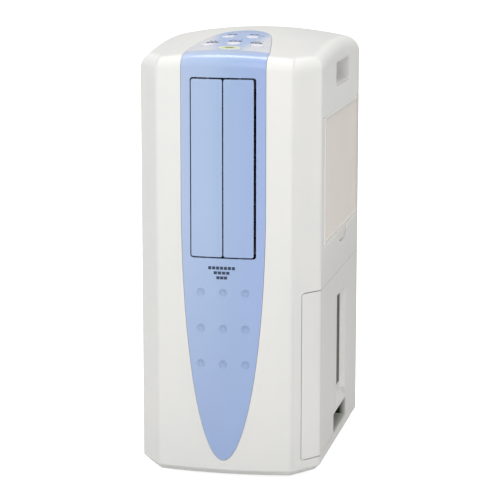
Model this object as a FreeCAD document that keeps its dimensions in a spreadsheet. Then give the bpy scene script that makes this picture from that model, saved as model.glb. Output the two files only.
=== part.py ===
import FreeCAD, Part
import math
import os
import Sketcher

# Compact compressor dehumidifier / spot cooler on casters.
# Frame: +X right as seen from the front, +Y towards the back, +Z up,
# origin on the floor under the middle of the unit. Millimetres.

os.makedirs("parts", exist_ok=True)
V = FreeCAD.Vector
doc = FreeCAD.newDocument("dehumidifier")
sheet = doc.addObject("Spreadsheet::Sheet", "Sheet")


class Dim(float):
    """A number that also carries the sheet expression that yields it."""

    def __new__(cls, value, text):
        dim = super().__new__(cls, value)
        dim.text = text
        return dim

    def __add__(self, other):
        return Dim(float(self) + float(other), joined(self, "+", other))

    def __radd__(self, other):
        return Dim(float(other) + float(self), joined(other, "+", self))

    def __sub__(self, other):
        return Dim(float(self) - float(other), joined(self, "-", other))

    def __rsub__(self, other):
        return Dim(float(other) - float(self), joined(other, "-", self))

    def __mul__(self, other):
        return Dim(float(self) * float(other), joined(self, "*", other))


def as_dim(value):
    return value if isinstance(value, Dim) else Dim(value, repr(float(value)))


def joined(first, operator, second):
    return "(%s %s %s)" % (as_dim(first).text, operator, as_dim(second).text)


sheet_aliases = []


def cell(alias, value):
    """Write one driving dimension to the next sheet row."""
    sheet_aliases.append(alias)
    row = len(sheet_aliases)
    sheet.set("A%d" % row, alias)
    sheet.set("B%d" % row, str(value))
    sheet.setAlias("B%d" % row, alias)
    return Dim(value, "Sheet." + alias)


# ---- driving dimensions ----
# casing envelope
width = cell("width", 285)
crease_x = cell("crease_x", 107.3)
front_y = cell("front_y", -209)
bulge = cell("bulge", 10.5)
facet_y = cell("facet_y", -160.3)
rear_y = cell("rear_y", 197)
height = cell("height", 683.6)
crown_across = cell("crown_across", 646)
crown_along = cell("crown_along", 1221)
crown_y = cell("crown_y", 22.7)
top_round = cell("top_round", 23.8)
foot_round = cell("foot_round", 8.5)
clear_floor = cell("clear_floor", 8)
wall = cell("wall", 2.6)
front_wall = cell("front_wall", 4.5)
inlay_depth = cell("inlay_depth", 3.0)
seam = cell("seam", 0.5)
panel_top = cell("panel_top", 561.6)
split_y = cell("split_y", -158.4)
# front inlay, control bezel, air outlet and dimples
inlay_half = cell("inlay_half", 66.3)
inlay_turn = cell("inlay_turn", 438)
inlay_tip = cell("inlay_tip", 31)
bezel_front = cell("bezel_front", -184)
bezel_half = cell("bezel_half", 65.2)
bezel_run = cell("bezel_run", 166)
vent_left = cell("vent_left", -52)
vent_right = cell("vent_right", 51.5)
vent_low = cell("vent_low", 350.5)
vent_high = cell("vent_high", 627.5)
vent_corner = cell("vent_corner", 5)
dimple_pitch = cell("dimple_pitch", 35)
dimple_radius = cell("dimple_radius", 7)
dimple_depth = cell("dimple_depth", 2.1)
# tank cover and filter
tank_top = cell("tank_top", 295.6)
tank_low = cell("tank_low", 30.4)
tank_edge_x = cell("tank_edge_x", 118.5)
filter_low = cell("filter_low", 358)
filter_high = cell("filter_high", 561.8)
filter_front = cell("filter_front", -128)
filter_back = cell("filter_back", 193)
filter_gap = cell("filter_gap", 10)
hinge_x = cell("hinge_x", 138.6)
hinge_z = cell("hinge_z", 556.1)
hinge_pin = cell("hinge_pin", 1.3)
# louvres, blower and exhaust
louvre_axis_y = cell("louvre_axis_y", -210)
louvre_left_x = cell("louvre_left_x", -25.4)
louvre_right_x = cell("louvre_right_x", 24.2)
pin_radius = cell("pin_radius", 2.5)
run_gap = cell("run_gap", 0.06)
crank_throw = cell("crank_throw", 9)
blower_y = cell("blower_y", -40)
blower_z = cell("blower_z", 460)
blower_radius = cell("blower_radius", 96)
wheel_outer = cell("wheel_outer", 82)
wheel_inner = cell("wheel_inner", 64)
exhaust_x = cell("exhaust_x", -10)
exhaust_z = cell("exhaust_z", 468)
exhaust_radius = cell("exhaust_radius", 70)
# cooling circuit, casters and tank
coil_low = cell("coil_low", 345)
coil_high = cell("coil_high", 560)
coil_front = cell("coil_front", -112)
coil_back = cell("coil_back", 176)
compressor_x = cell("compressor_x", -84)
compressor_y = cell("compressor_y", 88)
compressor_radius = cell("compressor_radius", 50)
caster_x = cell("caster_x", 104)
caster_y = cell("caster_y", 150)
caster_radius = cell("caster_radius", 12)
caster_trail = cell("caster_trail", 7)
tank_depth = cell("tank_depth", 300)
tank_wall = cell("tank_wall", 2)
doc.recompute()

# ---- shared places ----
half_width = width / 2
# cutting blocks reach past the casing to these planes
SIDE, AHEAD, BEHIND, ABOVE = 200, -240, 240, 720
# left and right (x), then front and rear (y)
CORNERS = [(sx, sy) for sx in (-1, 1) for sy in (-1, 1)]

panel_front = split_y + seam    # front edge of the panels behind the front shell
REAR_HALF = 139.2               # half width of the rear panel
rear_slot = REAR_HALF + 0.2     # half width of the opening it sits in
SCREWS = [(x, z) for x in (-128, 128) for z in (44, 300, 548)]
DRAIN_X, DRAIN_Z = 70, 66       # drain spout
CORD_X, CORD_Z = -100, 60       # mains cord entry
outer_rear = rear_y + 0.2       # seat of the fittings on the rear panel

HINGE_AT = (-90, 140)           # front ends of the filter hinge lugs, y
HINGE_LUG = 10
TAB_Y, TAB_Z = 45, 401          # centre of the arc shared by filter tab and well
bay_front = filter_front - filter_gap
BAY_X = 130.4                   # inner face of the filter bay
BAY_BACK = 193.6

TANK_LEFT, TANK_RIGHT = -22, 127.4
FLOAT_Y, FLOAT_Z = 105, 273     # float pivot
HANDLE_X, HANDLE_Z = 34, 286    # tank handle pivot
TRAY_X, TRAY_FRONT, TRAY_BACK, TRAY_TOP = 128, -120, 186, 336
DRIP_X = 50                     # drain hole over the tank
PIPE_X = -100                   # both pipes rise through the tray here
PIPE_YS = (100, 40)
shaft_radius = pin_radius + 1.5
crank_y = louvre_axis_y + crank_throw


# ---- document objects driven by the sheet ----
def bind(obj, prop, value):
    value = as_dim(value)
    if "Sheet." in value.text:
        obj.setExpression(prop, value.text)
    else:
        setattr(obj, prop, float(value))


def place(obj, x, y, z, rotation=FreeCAD.Rotation()):
    obj.Placement = FreeCAD.Placement(V(x, y, z), rotation)
    for axis, value in (("x", x), ("y", y), ("z", z)):
        if isinstance(value, Dim):
            obj.setExpression("Placement.Base." + axis, value.text)
    return obj


def box(x0, x1, y0, y1, z0, z1):
    obj = doc.addObject("Part::Box", "box")
    bind(obj, "Length", as_dim(x1) - x0)
    bind(obj, "Width", as_dim(y1) - y0)
    bind(obj, "Height", as_dim(z1) - z0)
    return place(obj, x0, y0, z0)


# turns the Z axis onto the named axis
TURN = {
    "z": FreeCAD.Rotation(),
    "x": FreeCAD.Rotation(V(0, 1, 0), 90),
    "y": FreeCAD.Rotation(V(1, 0, 0), -90),
}


def cyl(radius, length, x, y, z, axis="z"):
    obj = doc.addObject("Part::Cylinder", "cyl")
    bind(obj, "Radius", radius)
    bind(obj, "Height", length)
    return place(obj, x, y, z, TURN[axis])


def cone(low_radius, high_radius, length, x, y, z):
    obj = doc.addObject("Part::Cone", "cone")
    bind(obj, "Radius1", low_radius)
    bind(obj, "Radius2", high_radius)
    bind(obj, "Height", length)
    return place(obj, x, y, z)


def fuse(*objs):
    if len(objs) == 1:
        return objs[0]
    obj = doc.addObject("Part::MultiFuse", "fuse")
    obj.Shapes = list(objs)
    obj.Refine = True
    return obj


def cut(base, *tools):
    tool = fuse(*tools)
    obj = doc.addObject("Part::Cut", "cut")
    obj.Base = base
    obj.Tool = tool
    return obj


def common(base, tool):
    obj = doc.addObject("Part::Common", "common")
    obj.Base = base
    obj.Tool = tool
    return obj


# ---- sketched bodies ----
def sketch_rect(body, length_x, length_y, centre_y=0, lift=0):
    """Constrained rectangle on the body's XY plane, raised by lift."""
    sketch = body.newObject("Sketcher::SketchObject", "sk")
    plane = [f for f in body.Origin.OriginFeatures if f.Role == "XY_Plane"][0]
    sketch.AttachmentSupport = [(plane, "")]
    sketch.MapMode = "FlatFace"
    if lift:
        sketch.AttachmentOffset = FreeCAD.Placement(V(0, 0, lift), FreeCAD.Rotation())
    x0, x1 = -length_x / 2, length_x / 2
    y0, y1 = centre_y - length_y / 2, centre_y + length_y / 2
    corners = [V(x0, y0, 0), V(x1, y0, 0), V(x1, y1, 0), V(x0, y1, 0)]
    for i in range(4):
        sketch.addGeometry(Part.LineSegment(corners[i], corners[(i + 1) % 4]), False)
    for i in range(4):
        sketch.addConstraint(Sketcher.Constraint("Coincident", i, 2, (i + 1) % 4, 1))
    for i, kind in ((0, "Horizontal"), (2, "Horizontal"), (1, "Vertical"), (3, "Vertical")):
        sketch.addConstraint(Sketcher.Constraint(kind, i))
    for dimension in (("DistanceX", 0, 1, 0, 2, float(length_x)),
                      ("DistanceY", 1, 1, 1, 2, float(length_y)),
                      ("DistanceX", -1, 1, 0, 1, float(x0)),
                      ("DistanceY", -1, 1, 0, 1, float(y0))):
        sketch.addConstraint(Sketcher.Constraint(*dimension))
    return sketch


def feature(body, kind, sketch, length):
    """Add a Pad or a Pocket to the body."""
    obj = body.newObject("PartDesign::" + kind, kind)
    obj.Profile = sketch
    obj.Length = float(length)
    body.Tip = obj
    return obj


def padded(name, origin, length_x, length_y, thickness, centre_y=0):
    body = doc.addObject("PartDesign::Body", name + "_body")
    place(body, *origin)
    feature(body, "Pad", sketch_rect(body, length_x, length_y, centre_y), thickness)
    return body


# ---- pieces ----
nodes = {}


def node(name, obj):
    """Register an object as an exported piece."""
    obj.Label = name
    nodes[name] = obj


def solid(name, shape):
    """Refine a shape and register it."""
    if shape.ShapeType == "Compound" and len(shape.Solids) <= 1:
        shape = shape.Solids[0]
    shape = shape.removeSplitter()
    if len(shape.Solids) == 1:
        shape = shape.Solids[0]
    obj = doc.addObject("Part::Feature", name)
    obj.Shape = shape
    node(name, obj)


def group(name, items):
    """Register loose solids as one piece, such as a set of screws."""
    doc.recompute()
    solids = []
    for item in items:
        shape = item.Shape if hasattr(item, "Shape") else item
        solids += shape.Solids
    obj = doc.addObject("Part::Feature", name)
    obj.Shape = Part.Compound(solids)
    node(name, obj)


def one_piece(name, shape):
    if len(shape.Solids) != 1:
        raise RuntimeError("not one piece: " + name)
    return shape


# ---- plain shapes ----
AXES = {"x": V(1, 0, 0), "y": V(0, 1, 0), "z": V(0, 0, 1)}


def block(x0, x1, y0, y1, z0, z1):
    return Part.makeBox(x1 - x0, y1 - y0, z1 - z0, V(x0, y0, z0))


def rod(radius, length, x, y, z, axis="z"):
    return Part.makeCylinder(radius, length, V(x, y, z), AXES[axis])


def rounded(axis, x0, x1, y0, y1, z0, z1, radius):
    """Block with its four edges along the axis rounded."""
    shape = block(x0, x1, y0, y1, z0, z1)
    edges = []
    for edge in shape.Edges:
        run = edge.Vertexes[0].Point - edge.Vertexes[1].Point
        if abs(getattr(run, axis)) > 1e-6:
            edges.append(edge)
    return shape.makeFillet(radius, edges)


def oval(x, y, half_x, half_y, z0, z1):
    """Elliptic prism, longer along X."""
    ellipse = Part.Ellipse(V(x, y, z0), half_x, half_y)
    return Part.Face(Part.Wire([ellipse.toShape()])).extrude(V(0, 0, z1 - z0))


def polygon(*points):
    corners = [V(*point) for point in points]
    return Part.Face(Part.makePolygon(corners + corners[:1]))


def join(shapes):
    return shapes[0].multiFuse(shapes[1:])


# ---- casing envelope ----
# the front is an arc from crease to crease, bulging forwards
front_radius = (crease_x * crease_x + bulge * bulge) / (2 * bulge)
front_centre_y = front_y - bulge + front_radius


def plan(inset, z):
    """Outline of the casing at height z, moved inwards by inset."""
    run, rise = half_width - crease_x, facet_y - front_y
    length = math.hypot(run, rise)
    facet_x0 = crease_x - inset * rise / length
    facet_y0 = front_y + inset * run / length
    side_x, back_y = half_width - inset, rear_y - inset
    side_y = facet_y0 + (side_x - facet_x0) / run * rise
    # the crease is where the inset facet line meets the inset front arc
    radius = front_radius - inset
    offset_y = facet_y0 - front_centre_y
    a = run * run + rise * rise
    b = 2 * (facet_x0 * run + offset_y * rise)
    c = facet_x0 * facet_x0 + offset_y ** 2 - radius * radius
    root = math.sqrt(b * b - 4 * a * c)
    steps = [(-b - root) / (2 * a), (-b + root) / (2 * a)]
    meets = [(facet_x0 + step * run, facet_y0 + step * rise) for step in steps]
    x, y = min(meets, key=lambda p: abs(p[0] - crease_x) + abs(p[1] - front_y))
    corners = [V(x, y, z), V(side_x, side_y, z), V(side_x, back_y, z),
               V(-side_x, back_y, z), V(-side_x, side_y, z), V(-x, y, z)]
    edges = [Part.makeLine(corners[i], corners[i + 1]) for i in range(5)]
    nose = V(0, front_centre_y - radius, z)
    edges.append(Part.Arc(corners[5], nose, corners[0]).toShape())
    return Part.Face(Part.Wire(edges))


def crown(inset):
    """Doubly curved body whose upper face is the top of the casing."""
    half_span, half_sweep, bottom = 200, 28, -60
    across, along = crown_across - inset, crown_along - inset
    top = height - inset
    low = top - (across - math.sqrt(across * across - half_span * half_span))
    left, right = V(-half_span, crown_y, low), V(half_span, crown_y, low)
    foot_left, foot_right = V(-half_span, crown_y, bottom), V(half_span, crown_y, bottom)
    profile = Part.Face(Part.Wire([
        Part.Arc(left, V(0, crown_y, top), right).toShape(),
        Part.makeLine(right, foot_right),
        Part.makeLine(foot_right, foot_left),
        Part.makeLine(foot_left, left),
    ]))
    pivot = V(0, crown_y, top - along)
    profile.rotate(pivot, V(1, 0, 0), half_sweep)
    return profile.revolve(pivot, V(1, 0, 0), -2 * half_sweep)


forms = {}


def form(inset):
    """Solid inside the casing's outer surface moved inwards by inset."""
    inset = round(float(inset), 3)
    if inset in forms:
        return forms[inset]
    bottom = clear_floor + inset
    shape = plan(inset, bottom).extrude(V(0, 0, height))
    shape = shape.common(crown(inset))
    shape = shape.makeFillet(top_round - inset,
                             [e for e in shape.Edges if e.BoundBox.ZMin > 500])
    if inset == 0:
        foot = [e for e in shape.Edges if e.BoundBox.ZMax < bottom + 1]
        shape = shape.makeChamfer(foot_round, foot)
    if not shape.isValid():
        raise RuntimeError("casing form not valid at inset %s" % inset)
    forms[inset] = shape
    return shape


def inlay_prism(gap):
    """Front inlay outline, straight sides over a half ellipse, pushed along Y."""
    half, drop = inlay_half - gap, inlay_turn - inlay_tip - gap
    points = []
    for i in range(49):
        angle = math.pi * i / 48
        points.append(V(half * math.cos(angle), AHEAD, inlay_turn - drop * math.sin(angle)))
    curve = Part.BSplineCurve()
    curve.interpolate(points)
    left, right = V(-half, AHEAD, ABOVE), V(half, AHEAD, ABOVE)
    face = Part.Face(Part.Wire([
        curve.toShape(),
        Part.makeLine(points[-1], left),
        Part.makeLine(left, right),
        Part.makeLine(right, points[0]),
    ]))
    return face.extrude(V(0, bezel_front - gap - AHEAD, 0))


# right half of the bezel outline: share of its half width, share of its run to the back
BEZEL_OUTLINE = [
    (1.0, 0.0), (0.968, 0.10), (0.925, 0.20), (0.878, 0.32), (0.825, 0.44),
    (0.765, 0.56), (0.69, 0.68), (0.585, 0.80), (0.44, 0.90), (0.24, 0.97),
]


def bezel_prism(gap):
    """Control bezel outline, straight in front and tapering back, pushed upwards."""
    low = 600.0
    half, run, y0 = bezel_half - gap, bezel_run - gap, bezel_front + gap
    mirrored = [(-x, y) for x, y in reversed(BEZEL_OUTLINE)]
    outline = BEZEL_OUTLINE + [(0.0, 1.0)] + mirrored
    points = [V(half * x, y0 + run * y, low) for x, y in outline]
    curve = Part.BSplineCurve()
    curve.interpolate(points)
    wire = Part.Wire([curve.toShape(), Part.makeLine(points[-1], points[0])])
    return Part.Face(wire).extrude(V(0, 0, ABOVE - low))


casing = form(0)
skin = casing.cut(form(wall))
thick = casing.cut(form(front_wall))
shallow = casing.cut(form(inlay_depth))
vent = rounded("y", vent_left, vent_right, AHEAD, -190, vent_low, vent_high, vent_corner)
bezel_hole = bezel_prism(-0.25)


# ---- outer shells ----
def front_panel():
    shape = thick.common(block(-SIDE, SIDE, AHEAD, split_y, 0, ABOVE))
    recess = casing.cut(form(inlay_depth + 0.1))
    shape = shape.cut(recess.common(inlay_prism(0)))
    shape = shape.cut(vent)
    shape = shape.cut(rounded("y", tank_edge_x - seam, 260, AHEAD, -157.5,
                              tank_low - seam, tank_top + seam, 5))
    shape = shape.cut(bezel_hole.common(block(-SIDE, SIDE, -200, 0, 600, ABOVE)))
    for sx in (-1, 1):
        shape = shape.cut(rod(26.0, 40, sx * caster_x, -caster_y, -2))
    return shape


def front_inlay():
    shape = shallow.common(inlay_prism(0.55))
    shape = shape.cut(vent).Solids[0]
    ball = (dimple_radius * dimple_radius + dimple_depth * dimple_depth) / (2 * dimple_depth)
    out = ball - dimple_depth
    # dimples go in the middle and right columns, then the right half is mirrored
    for column in (0, 1):
        x = column * dimple_pitch
        y = front_centre_y - math.sqrt(front_radius * front_radius - x * x)
        normal_x = x / front_radius
        normal_y = -math.sqrt(1 - normal_x * normal_x)
        for z in (297.0, 240.5, 184.5):
            faces = len(shape.Faces)
            centre = V(x + normal_x * out, y + normal_y * out, z)
            shape = shape.cut(Part.makeSphere(ball, centre))
            if len(shape.Faces) != faces + 1:
                raise RuntimeError("dimple not cut at %s %s" % (x, z))
    half = shape.common(block(0, 200, -300, 300, -10, 900))
    return half.fuse(half.mirror(V(0, 0, 0), V(1, 0, 0))).removeSplitter()


def hand_hold(x0, x1, inset, radius):
    """Rounded block through a side of the upper casing, shrunk by inset."""
    return rounded("x", x0, x1, -33 + inset, 91 - inset, 598 + inset, 638 - inset, radius)


def upper_casing():
    shape = thick.common(block(-SIDE, SIDE, panel_front, BEHIND, panel_top + seam, ABOVE))
    shape = shape.cut(bezel_hole)
    for x0, x1 in ((120, 160), (-160, -120)):
        shape = shape.cut(hand_hold(x0, x1, 0, 6))
    return shape


def handle_cups():
    outer = half_width - 0.6
    cup = hand_hold(outer - 26, outer, 0.4, 5.6)
    flange_inner, flange_outer = half_width - front_wall - 2.2, half_width - front_wall - 0.3
    cup = cup.fuse(rounded("x", flange_inner, flange_outer, -37, 95, 594, 640, 6))
    cup = cup.cut(hand_hold(outer - 24, outer + 5.6, 2.4, 4))
    cup = cup.common(form(0.5))
    return [cup, cup.mirror(V(0, 0, 0), V(1, 0, 0))]


def left_side_panel():
    shape = skin.common(block(-SIDE, -118, panel_front, BEHIND, tank_low, panel_top))
    shape = shape.cut(block(-rear_slot, -100, 180, BEHIND, 0, ABOVE))
    for i in range(20):
        z = 348 + i * 10
        for y0, y1 in ((-118, 20), (32, 170)):
            shape = shape.cut(rounded("x", -160, -130, y0, y1, z, z + 4.5, 2.2))
    return shape


def tab_zone(z0, z1, x0=130):
    """Band that trims the discs around the filter tab."""
    return block(x0, 160, -60, 150, z0, z1)


def right_side_panel():
    shape = skin.common(block(118, SIDE, panel_front, BEHIND, tank_top + seam, panel_top))
    shape = shape.cut(block(100, rear_slot, 180, BEHIND, 0, ABOVE))
    floor_z = filter_low - 0.5
    shape = shape.cut(block(130, 160, bay_front, 194.2, floor_z, ABOVE))
    tab_well = rod(66, 12, 136, TAB_Y, TAB_Z, "x").common(tab_zone(339, filter_low, 136))
    shape = shape.cut(tab_well)
    # walls of the filter bay
    y0, web = bay_front - 2, BAY_X + 2
    shelf = block(BAY_X, 142.3, y0, BAY_BACK, floor_z - 2, floor_z).cut(tab_well)
    post = block(BAY_X, 140.5, y0, bay_front, floor_z - 2, 561)
    grille = block(BAY_X, web, y0, BAY_BACK, 318, 555.5)
    well_floor = rod(68, 3.4, web, TAB_Y, TAB_Z, "x").common(tab_zone(337, filter_low))
    well_wall = rod(68, 9, web, TAB_Y, TAB_Z, "x")
    well_wall = well_wall.cut(rod(66, 12, 130, TAB_Y, TAB_Z, "x"))
    well_wall = well_wall.common(tab_zone(330, 357.4))
    for i in range(19):
        z = 362 + i * 10
        for slot_y0, slot_y1 in ((-116, 36), (44, 186)):
            grille = grille.cut(block(129, 134, slot_y0, slot_y1, z, z + 6))
    lugs = []
    for y in HINGE_AT:
        lug = block(BAY_X, hinge_x, y, y + HINGE_LUG, hinge_z - 8, hinge_z + 2.4)
        lugs.append(lug.cut(block(web, 150, y - 1, y + HINGE_LUG + 1, 540, hinge_z - 2.4)))
        lugs.append(rod(2.4, HINGE_LUG, hinge_x, y, hinge_z, "y"))
    shape = shape.multiFuse([shelf, post, grille, well_floor, well_wall] + lugs)
    for y in HINGE_AT:
        bore = rod(hinge_pin + 0.15, HINGE_LUG + 2, hinge_x, y - 1, hinge_z, "y")
        shape = shape.cut(bore)
    return shape


def rear_panel():
    shape = block(-REAR_HALF, REAR_HALF, rear_y - wall, rear_y, tank_low, panel_top)
    drill_y, drill = 185, 20
    shape = shape.cut(rod(exhaust_radius - 4, drill, exhaust_x, drill_y, exhaust_z, "y"))
    shape = shape.cut(rod(8.2, drill, DRAIN_X, drill_y, DRAIN_Z, "y"))
    shape = shape.cut(rod(5.2, drill, CORD_X, drill_y, CORD_Z, "y"))
    for i in range(8):
        z = 120 + i * 14
        shape = shape.cut(rounded("y", -120, -40, drill_y, 205, z, z + 6, 2.9))
    for x, z in SCREWS:
        shape = shape.cut(rod(1.7, drill, x, drill_y, z, "y"))
    return shape


def tank_cover():
    """Cover with its gauge groove and the hand-hold under it."""
    zone = rounded("y", tank_edge_x, 270, AHEAD, BEHIND, tank_low, tank_top, 4.6)
    shape = skin.common(zone.cut(block(100, rear_slot, 185, BEHIND, 0, ABOVE)))
    floor_x, low = 133.9, 82
    groove_out = block(131.9, 141, -11, 83, 64, 258)
    slope = polygon((floor_x, 73, low), (143, 73, low), (143, 80.9, low))
    groove_in = block(floor_x, 160, -9, 73, low, 256).fuse(slope.extrude(V(0, 0, 174)))
    wedge = polygon((floor_x, -9, low), (160, -9, 50), (160, -9, low)).extrude(V(0, 82, 0))
    grab_out = block(112.5, 141, -36, 89, tank_low, 66)
    grab_in = rounded("x", 114.5, 160, -34, 87, 32, 64, 4)
    shape = shape.multiFuse([groove_out, grab_out])
    shape = shape.cut(groove_in).cut(wedge).cut(grab_in)
    shape = shape.cut(block(130, 140, 24, 71.5, 94, 252))
    hooks = [block(127.6, 140.5, y, y + 14, 180, 200) for y in (-120, 110)]
    return shape.multiFuse(hooks)


def level_window():
    return rounded("x", 131.0, 133.6, 24.3, 71.2, 94.3, 251.7, 1.5)


# ---- control area on top ----
# name, centre x, centre y, half length x, half length y
KEYS = [
    ("power_button", 0.0, -171.5, 17.0, 8.5),
    ("mode_button", 0.0, -142.0, 11.0, 8.0),
    ("timer_button", -38.5, -149.5, 10.0, 7.5),
    ("airflow_button", 38.5, -149.5, 10.0, 7.5),
    ("louvre_button", -19.0, -90.0, 10.0, 8.0),
    ("dry_button", 19.0, -90.0, 10.0, 8.0),
]
# rows of indicators: centre x, y, steps along x
LIGHT_ROWS = [
    (-34, -118.0, (-7, 0, 7)), (34, -118.0, (-7, 0, 7)), (0, -112.0, (-7, 0, 7)),
    (-16, -48.0, (-6, 6)), (16, -48.0, (-6, 6)),
]
LENSES = [(x + step, y) for x, y, steps in LIGHT_ROWS for step in steps]


def control_bezel():
    shape = shallow.common(bezel_prism(0.4))
    key_gap = 0.35
    for _, x, y, half_x, half_y in KEYS:
        shape = shape.cut(oval(x, y, half_x + key_gap, half_y + key_gap, 600, ABOVE))
    for x, y in LENSES:
        shape = shape.cut(rod(1.3, 120, x, y, 600))
    return shape


def key(name, x, y, half_x, half_y):
    """Cap standing 0.9 proud of the casing, with a round stem."""
    cap = form(-0.9).common(oval(x, y, half_x, half_y, 655, ABOVE))
    cap = cap.cut(form(3.8))
    stem = rod(2.4, 45, x, y, 645.6).common(form(2.4))
    return one_piece(name, cap.fuse(stem))


def indicator_lenses():
    layer = casing.cut(form(1.8))
    return [layer.common(rod(1.25, 120, x, y, 600)) for x, y in LENSES]


# ---- chassis ----
def base_pan():
    shape = casing.common(block(-SIDE, SIDE, panel_front, BEHIND, 0, 29.9))
    hollow = block(-SIDE, SIDE, panel_front + 2.6, BEHIND, 12.6, 40)
    shape = shape.cut(form(wall + 2.4).common(hollow))
    tongue = block(-112, 112, AHEAD, split_y + 2, 13.5, 16.5)
    shape = shape.fuse(form(front_wall + 0.5).common(tongue))
    domes, wells = [], []
    dome_low, dome_high = 8.5, 33
    for sx, sy in CORNERS:
        x, y = sx * caster_x, sy * caster_y
        domes.append(rod(25.5, dome_high - dome_low, x, y, dome_low))
        domes.append(rod(8, 8, x, y, 32.5))
        wells.append(rod(23.2, 31, x, y, 0))
        wells.append(rod(3.55, 20, x, y, 30))
    shape = shape.multiFuse(domes)
    for well in wells:
        shape = shape.cut(well)
    return one_piece("base_pan", shape)


def caster_fork(x, y, wheel_y):
    plate = cyl(9.5, 2, x, y, 26.5)
    stem = cyl(3.5, 11, x, y, 28.3)
    ring = cyl(6, 1.2, x, y, 28.4)
    ears = [box(x + side, x + side + 1.6, wheel_y - 5, wheel_y + 4, caster_radius - 5, 27)
            for side in (-7.6, 6.0)]
    bore = cyl(1.56, 20, x - 10, wheel_y, caster_radius, "x")
    return cut(fuse(plate, stem, ring, *ears), bore)


def caster_wheel(x, wheel_y):
    tread = cyl(caster_radius, 10, x - 5, wheel_y, caster_radius, "x")
    axle = cyl(1.5, 15, x - 7.5, wheel_y, caster_radius, "x")
    return fuse(tread, axle)


def casters():
    for sx, sy in CORNERS:
        place_name = "%s_%s" % ("rear" if sy > 0 else "front", "right" if sx > 0 else "left")
        x, y = caster_x * sx, caster_y * sy
        wheel_y = y + caster_trail
        node("caster_fork_" + place_name, caster_fork(x, y, wheel_y))
        node("caster_wheel_" + place_name, caster_wheel(x, wheel_y))


def bay_partition():
    """Wall between the tank bay and the machine bay."""
    return padded("bay_partition", (-29, 0, 13), 1.2, 300, 305)


def drain_tray():
    """Shelf above both bays, with a rim and a drain hole over the tank."""
    rim_low, rim = 323, 2
    tray = fuse(
        box(-TRAY_X, TRAY_X, TRAY_FRONT, TRAY_BACK, 322, 324),
        box(-TRAY_X, TRAY_X, TRAY_FRONT, TRAY_FRONT + rim, rim_low, TRAY_TOP),
        box(-TRAY_X, TRAY_X, TRAY_BACK - rim, TRAY_BACK, rim_low, TRAY_TOP),
        box(-TRAY_X, rim - TRAY_X, TRAY_FRONT, TRAY_BACK, rim_low, TRAY_TOP),
        box(TRAY_X - rim, TRAY_X, TRAY_FRONT, TRAY_BACK, rim_low, TRAY_TOP),
        cyl(9, 12, DRIP_X, 0, 312),
    )
    pipe_holes = [cyl(5.4, 10, PIPE_X, y, 318) for y in PIPE_YS]
    return cut(tray, cyl(7, 20, DRIP_X, 0, 309), box(-70, 60, -90, -88, 300, 301), *pipe_holes)


def air_divider():
    low = 324.4
    return fuse(box(-84, 84, 62, 63.5, low, 640), box(-84, 84, 60, 66, low, low + 2))


# ---- tank ----
def tank_box(inset, z0, z1, right=TANK_RIGHT):
    """Box over the tank's plan, shrunk by inset on all four sides."""
    y0, y1 = tank_depth * -0.5 + inset, tank_depth * 0.5 - inset
    return box(TANK_LEFT + inset, right - inset, y0, y1, z0, z1)


def tank_container():
    foot_right = 108
    outer = fuse(tank_box(0, 70, 278), tank_box(0, 46, 70.5, foot_right))
    inner = fuse(tank_box(tank_wall, 72.4, 290),
                 tank_box(tank_wall, tank_wall + 46, 80, foot_right))
    return cut(outer, inner)


def tank_lid():
    lid = fuse(tank_box(0, 278.2, 280.4), tank_box(2.4, 275.6, 278.6))
    lid = cut(lid, tank_box(4.4, 270, 278), cyl(14, 20, DRIP_X, 0, 270),
              box(-14, 14, 88, 122, 270, 290))
    lugs = [box(HANDLE_X - 4, HANDLE_X + 4, y, y + 6, 279.6, 290) for y in (-76, 70)]
    float_cage = [cyl(2, 28, -14, FLOAT_Y, FLOAT_Z, "x")]
    for x0, x1 in ((-17, -13.5), (13.5, 17)):
        float_cage.append(box(x0, x1, FLOAT_Y - 4, FLOAT_Y + 4, 270, 280))
    bore = cyl(2.06, 200, HANDLE_X, -100, HANDLE_Z, "y")
    return fuse(cut(fuse(lid, *lugs), bore), *float_cage)


def tank_handle():
    z0, z1 = 283.4, 288.6
    pins = [cyl(2, 8, HANDLE_X, y, HANDLE_Z, "y") for y in (-78, 70)]
    arms = [box(30, 60, y, y + 5, z0, z1) for y in (-82, 77)]
    return fuse(*pins, *arms, box(54, 60, -82, 82, z0, z1))


def tank_float():
    body = box(-12, 12, FLOAT_Y - 15, FLOAT_Y + 15, 240, 262)
    neck = box(-3, 3, FLOAT_Y - 2, FLOAT_Y + 2, 261, 284)
    head = box(-6, 6, FLOAT_Y - 4, FLOAT_Y + 4, 283, 287)
    return cut(fuse(body, neck, head), cyl(2.06, 30, -15, FLOAT_Y, FLOAT_Z, "x"))


def full_switch():
    return fuse(box(-12, 12, 92, 104, 302, 314), box(-3, 3, 97, 99, 299, 303))


# ---- compressor circuit ----
def compressor():
    x, y, radius, half_plate = compressor_x, compressor_y, compressor_radius, 38
    shape = fuse(
        cyl(radius, 120, x, y, 84),
        cone(radius, radius - 22, 22, x, y, 204),
        cyl(14, 10, x, y, 225),
        cyl(radius - 4, 8, x, y, 77),
        box(x - half_plate, x + half_plate, y - half_plate, y + half_plate, 33.4, 36),
    )
    return fuse(shape, cyl(radius - 14, 46, x, y, 34))


def compressor_mounts():
    """Rubber feet under the compressor plate."""
    return [cyl(5, 19.6, compressor_x + 30 * sx, compressor_y + 30 * sy, 13.2)
            for sx, sy in CORNERS]


def riser(x, y, bottom, bend, top_y):
    """Bent pipe that rises, slants over to the tray hole and rises through it."""
    points = [V(x, y, bottom), V(x, y, bend), V(PIPE_X, top_y, bend + 20), V(PIPE_X, top_y, 342)]
    ring = Part.Wire([Part.makeCircle(4, points[0], points[1].sub(points[0]))])
    path = Part.Wire(Part.makePolygon(points).Edges)
    # solid, not Frenet, round corners
    return path.makePipeShell([ring], True, False, 2)


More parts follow.
